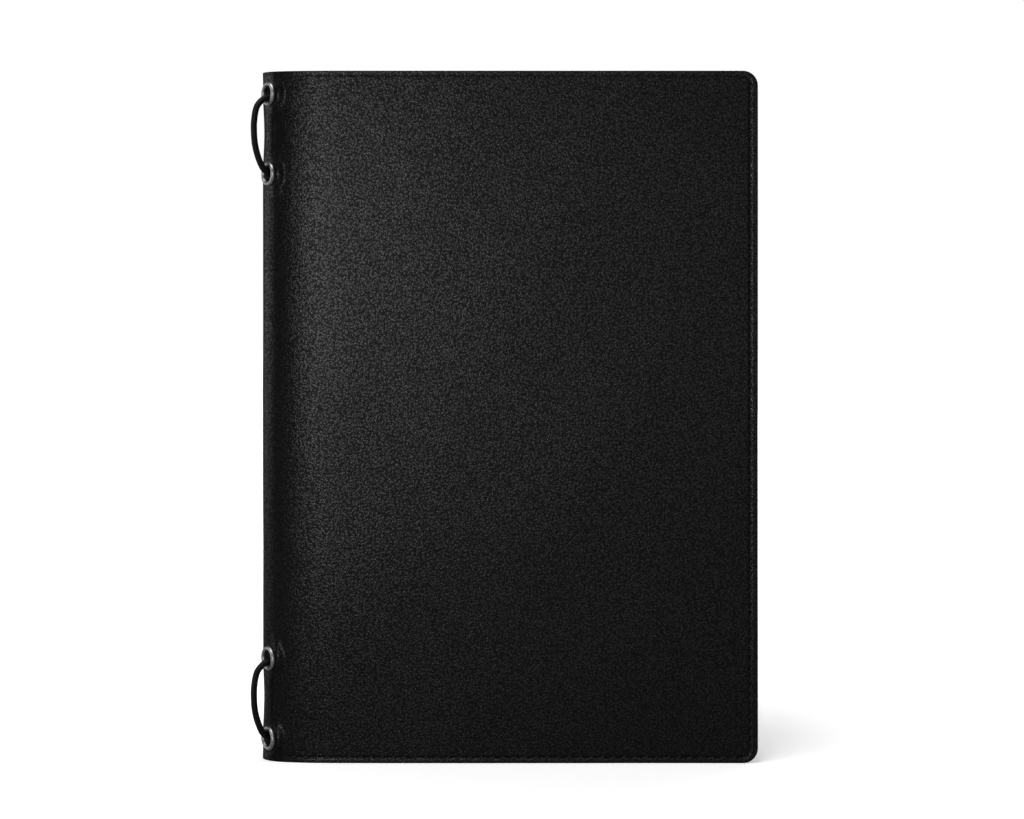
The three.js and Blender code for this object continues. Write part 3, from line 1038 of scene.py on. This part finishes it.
SKIN = [COVER_LEATHER, EDGE_PAINT]
skin_up = up_lines(0.0, 0.0025)
front_across = cover_lines(FRONT_SEAM, 0.0, 0.0025, True)
back_across = [-a for a in reversed(cover_lines(-REAR_SEAM, 0.0, 0.0025, False))]
strip_across = spread([REAR_SEAM, FRONT_SEAM], lambda a: 0.00045)

front_skin = leaf("front_hide", front_across, skin_up, skin_face, skin_under, SKIN, holes=True,
                  groove=GROOVE)
strip_skin = leaf("spine_hide", strip_across, skin_up, skin_face, skin_under, SKIN)
back_skin = leaf("back_hide", back_across, skin_up, skin_face, skin_under, SKIN, groove=GROOVE)
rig.replaces(front_skin, "front_cover_leather", "spine_leather")
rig.replaces(strip_skin, "spine_leather_rear")
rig.replaces(back_skin, "back_cover_leather")
for piece, name in ((front_skin, "front"), (strip_skin, "middle"), (back_skin, "rear")):
    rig.slot(piece, "cover_leather")
    fold(piece, name)


# The lining


def lining_face(around, height, edge):
    beyond = abs(around) - QUARTER
    spine_share = 1 - ease(0.0003, FLEX - 0.001, beyond)
    return mix(LINING_DEPTH, SPINE_LINING_DEPTH + shoulder(around), spine_share)


def lining_under(around, height, edge):
    return lining_face(around, height, edge) + LINING


lining_up = up_lines(LINING_INSET, 0.005)
lining_pieces = (
    ("front_lining_cloth", cover_lines(FRONT_SEAM, LINING_INSET, 0.005, True), True, "front",
     ("front_lining", "spine_lining")),
    ("spine_lining_cloth", spread([REAR_SEAM, FRONT_SEAM], lambda a: 0.0006), False, "middle",
     ("spine_lining_rear",)),
    ("back_lining_cloth", [-a for a in reversed(cover_lines(-REAR_SEAM, LINING_INSET, 0.005, False))],
     False, "rear", ("back_lining",)),
)
linings = []
for name, across, holes, fold_name, nodes in lining_pieces:
    piece = leaf(
        name, across, lining_up, lining_face, lining_under, [LINING_CLOTH], inset=LINING_INSET,
        holes=holes, outer_round=0.0001, inner_round=0.0002, painted=False,
    )
    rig.replaces(piece, *nodes)
    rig.slot(piece, "lining")
    fold(piece, fold_name)
    linings.append(piece)


# The slip pockets, open towards the spine

POCKET_MOUTH = FORE_EDGE - POCKET_INSET - POCKET_WIDTH


def pocket_face(around, height, edge):
    return POCKET_DEPTH


def pocket_under(around, height, edge):
    """A creased line runs beside the mouth, and the seam presses the other edges."""
    from_mouth = abs(around) - POCKET_MOUTH
    crease = 0.00012 * math.exp(-(((from_mouth - 0.0025) / 0.0004) ** 2))
    line = abs(edge + POCKET_INSET - seam_inset(FORE_EDGE - abs(around), min(height, HEIGHT - height),
                                                height > HEIGHT / 2))
    return POCKET_DEPTH + POCKET - crease - 0.0001 * math.exp(-((line / 0.0004) ** 2))


pocket_marks = [FORE_EDGE - POCKET_INSET - e for e in EDGE_LINES]
pocket_marks += [POCKET_MOUTH + 0.0001 * n for n in (0, 1, 2, 4, 10, 17, 20, 23, 25, 27, 30, 33, 40)]
pocket_across = spread(pocket_marks, lambda a: 0.004)
pocket_up = up_lines(POCKET_INSET, 0.004)
pockets = []
for side, body in ((1, "front"), (-1, "back")):
    across = pocket_across if side > 0 else [-a for a in reversed(pocket_across)]
    piece = leaf(
        f"{body}_slip_pocket", across, pocket_up, pocket_face, pocket_under,
        [POCKET_LEATHER, EDGE_PAINT], inset=POCKET_INSET, mouth=POCKET_MOUTH, outer_round=0.0001,
        inner_round=0.0003, painted=False,
    )
    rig.replaces(piece, f"{body}_pocket")
    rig.slot(piece, "pocket_leather")
    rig.ride(piece, f"{body}_cover")
    pockets.append(piece)


# Stitches


def seam_walk():
    """(run, height, heading) of each stitch: from the spine along the lower edge and round."""
    lower_end = FORE_EDGE - CORNER - QUARTER - SEAM_START
    lower_arc = math.pi / 2 * (CORNER - (LOWER_SEAM + FORE_SEAM) / 2)
    upper_arc = math.pi / 2 * (CORNER - (UPPER_SEAM + FORE_SEAM) / 2)
    side = HEIGHT - 2 * CORNER
    total = 2 * lower_end + lower_arc + upper_arc + side
    long_pitch, short_pitch = 0.00345, 0.0028
    walked = 0.0015
    while walked < total - 0.0015:
        d = walked
        if d < lower_end:
            yield FORE_EDGE - QUARTER - SEAM_START - d, LOWER_SEAM, 0.0
            walked += long_pitch
            continue
        d -= lower_end
        if d < lower_arc:
            angle = math.pi / 2 * d / lower_arc
            ring = CORNER - mix(LOWER_SEAM, FORE_SEAM, d / lower_arc)
            yield CORNER - ring * math.sin(angle), CORNER - ring * math.cos(angle), angle
            walked += short_pitch
            continue
        d -= lower_arc
        if d < side:
            yield FORE_SEAM, CORNER + d, math.pi / 2
            walked += short_pitch
            continue
        d -= side
        if d < upper_arc:
            angle = math.pi / 2 * d / upper_arc
            ring = CORNER - mix(FORE_SEAM, UPPER_SEAM, d / upper_arc)
            yield (CORNER - ring * math.cos(angle), HEIGHT - CORNER + ring * math.sin(angle),
                   math.pi / 2 + angle)
            walked += short_pitch
            continue
        d -= upper_arc
        yield CORNER + d, HEIGHT - UPPER_SEAM, math.pi
        walked += long_pitch


def pressed_face(around, height):
    return hide_depth(around, height) + GROOVE


def inner_face(around, height):
    beyond = abs(around) - POCKET_MOUTH
    depth = POCKET_DEPTH + POCKET if beyond > 0 else lining_under(around, height, 0)
    return depth - 0.0001


def stitches(name, side, surface, out, fold_name, length=0.0021, slant=0.38):
    """Thread over one face of a cover, each stitch an arched strand that dives at both ends."""
    bm = bmesh.new()
    for run, height, heading in seam_walk():
        lean = slant * math.cos(2 * heading)
        long = length if abs(math.cos(heading)) > 0.7 else 0.82 * length
        direction = (math.cos(heading + lean), math.sin(heading + lean))
        line = []
        for k in range(9):
            along = mix(-0.5, 0.5, k / 8) * long
            a = FORE_EDGE - run + along * direction[0]
            h = height + along * direction[1]
            proud = 0.00016 - 0.00042 * abs(2 * along / long) ** 3
            line.append(place(side * a, h, surface(side * a, h) - out * proud))
        tube(bm, line, lambda share: 0.00025 * (1 - 0.35 * abs(2 * share - 1) ** 3), 8)
    piece = new_piece(name, bm, [THREAD], 60)
    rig.slot(piece, "cover_leather")
    fold(piece, fold_name)
    return piece


HOLE_LENGTH, HOLE_WIDTH, HOLE_SIDES = 0.0014, 0.0006, 14
HOLE_INSET = 0.00038
HOLE_LIFT = 0.00014 * (1 - ease(0, 0.0011, 0.0006))  # of the slots over the bottom of the pressed line


def needle_hole_shades(name, side, surface, fold_name):
    """The pressed slots that the needle leaves on the inner side of the seam, between stitches, coloured near-black as
    painted shade inside the holes.
    """
    bm = bmesh.new()
    stored = bm.verts.layers.float_vector.new("hide")
    walk = list(seam_walk())
    for (run, height, heading), (run_2, height_2, heading_2) in zip(walk, walk[1:]):
        angle = (heading + heading_2) / 2
        t = Vector((math.cos(angle), math.sin(angle)))
        n = Vector((-t.y, t.x))
        between = Vector((FORE_EDGE - (run + run_2) / 2, (height + height_2) / 2))
        centre = between + HOLE_INSET * n
        tilt = 0.3 * math.cos(2 * angle)
        long_way = Vector((math.cos(angle + tilt), math.sin(angle + tilt)))
        short_way = Vector((-long_way.y, long_way.x))
        rings = []
        for scale in (0.0, 0.6, 1.0):
            ring = []
            for k in range(HOLE_SIDES if scale else 1):
                w = 2 * math.pi * k / HOLE_SIDES
                slot = HOLE_LENGTH / 2 * math.cos(w) * long_way + HOLE_WIDTH / 2 * math.sin(w) * short_way
                p = centre + scale * slot
                depth = surface(side * p.x, p.y) - 0.00001 - 0.00004 * scale
                v = bm.verts.new(place(side * p.x, p.y, depth - HOLE_LIFT))
                v[stored] = (side * p.x, depth, p.y)
                ring.append(v)
            rings.append(ring)
        for k in range(HOLE_SIDES):
            m = (k + 1) % HOLE_SIDES
            bm.faces.new([rings[0][0], rings[1][k], rings[1][m]])
            bm.faces.new([rings[1][k], rings[2][k], rings[2][m], rings[1][m]])
    piece = new_piece(name, bm, [NEEDLE_HOLE_SHADE], 60)
    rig.slot(piece, "cover_leather")
    fold(piece, fold_name)
    return piece


threads = {}
for side, body, fold_name in ((1, "front", "front"), (-1, "back", "rear")):
    outer = stitches(f"{body}_seam_thread", side, pressed_face, 1, fold_name)
    # Dark slots between the stitches: painted shade of the needle holes.
    holes = needle_hole_shades(f"{body}_needle_hole_shades", side, pressed_face, fold_name)
    inner = stitches(f"{body}_inner_thread", side, inner_face, -1, fold_name, slant=-0.25)
    threads[body] = (outer, holes, inner)

# Boards, hidden between the leather and the lining
for node in ("front_stiffener", "back_stiffener"):
    mesh = frame["nodes"][node].data
    mesh.materials.clear()
    mesh.materials.append(CARD)


# What each sheet was cut to

cover_cut = FORE_EDGE - FRONT_SEAM
back_cut = FORE_EDGE + REAR_SEAM
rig.sheet(front_skin, flat=(cover_cut, HEIGHT), held="folded", with_pieces=threads["front"])
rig.sheet(back_skin, flat=(back_cut, HEIGHT), held="folded", with_pieces=threads["back"])
lining_height = HEIGHT - 2 * LINING_INSET
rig.sheet(linings[0], flat=(cover_cut - LINING_INSET, lining_height), held="stretched")
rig.sheet(linings[2], flat=(back_cut - LINING_INSET, lining_height), held="stretched")
for piece in pockets:
    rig.sheet(piece, flat=(POCKET_WIDTH, HEIGHT - 2 * POCKET_INSET), held="stretched")

# The floor, the light and the camera


def flat_light(name, at, aim, size, power, colour=(1, 1, 1)):
    light = bpy.data.lights.new(name, "AREA")
    light.shape = "RECTANGLE"
    light.size, light.size_y = size
    light.energy = power
    light.color = colour
    lamp = bpy.data.objects.new(name, light)
    lamp.location = at
    lamp.rotation_euler = (Vector(aim) - Vector(at)).to_track_quat("-Z", "Y").to_euler()
    bpy.context.scene.collection.objects.link(lamp)
    return lamp


bm = bmesh.new()
bmesh.ops.create_grid(bm, x_segments=8, y_segments=8, size=4.0)
floor_finish = Finish("pale floor", Specular_IOR_Level=0.0, Roughness=0.9)
floor_finish.shader.inputs["Emission Color"].default_value = (1, 1, 1, 1)
seen = floor_finish.tree.nodes.new("ShaderNodeLightPath").outputs["Is Camera Ray"]
floor_finish.colour(seen, (0.32, 0.32, 0.32), (0.95, 0.95, 0.95))
away = floor_finish.tree.nodes.new("ShaderNodeVectorMath")
away.operation = "LENGTH"
floor_finish.tree.links.new(floor_finish.place, away.inputs[0])
# The floor glows a little for the camera, and more with distance, so that it stays white
glow = remap(floor_finish.tree, away.outputs["Value"], 0.10, 0.60, 0.35, 1.1)
floor_finish.tree.links.new(
    math_node(floor_finish.tree, "MULTIPLY", seen, glow),
    floor_finish.shader.inputs["Emission Strength"],
)
floor = new_piece("floor", bm, [floor_finish.material])
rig.stage(floor)

world = bpy.data.worlds.new("studio")
bpy.context.scene.world = world
world.use_nodes = True
sky = world.node_tree
plain = sky.nodes["Background"]
plain.inputs["Color"].default_value = (1, 1, 1, 1)
ray = sky.nodes.new("ShaderNodeLightPath").outputs["Is Camera Ray"]
sky.links.new(remap(sky, ray, 0, 1, 0.10, 1.0), plain.inputs["Strength"])

centre = Vector((SPINE_X / 2, 0, HEIGHT / 2))
flat_light("key", (-0.38, -0.49, 1.59), centre, (0.9, 0.9), 17)
flat_light("front", (-0.33, -1.46, 0.18), centre, (0.25, 0.36), 3.8)
flat_light("wide front", (0.0, -1.6, 0.0), centre, (0.8, 0.8), 2.2)
flat_light("left edge", (-1.40, 0.06, 0.2), centre, (1.5, 0.8), 7)
flat_light("rear", (0.55, 1.6, 0.55), centre, (2.0, 1.0), 18)
flat_light("overhead", (0.1, 0.55, 1.5), (0.0, 0.45, 0.0), (1.6, 1.0), 3)

camera_data = bpy.data.cameras.new("camera")
camera_data.sensor_width = 36
camera_data.lens = 78.555
camera_data.shift_y = -0.1280
camera = bpy.data.objects.new("camera", camera_data)
camera.location = (0.002456, -SPINE_RADIUS - 0.700, 0.1519)
camera.rotation_euler = (math.pi / 2, 0, 0)
bpy.context.scene.collection.objects.link(camera)
bpy.context.scene.camera = camera
bpy.context.scene.view_settings.view_transform = "Standard"

with open("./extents.json", "w") as out_file:
    boxes = {"cad": cad_box, "visual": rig.bounds()}
    json.dump({k: [list(c) for c in v] for k, v in boxes.items()}, out_file)
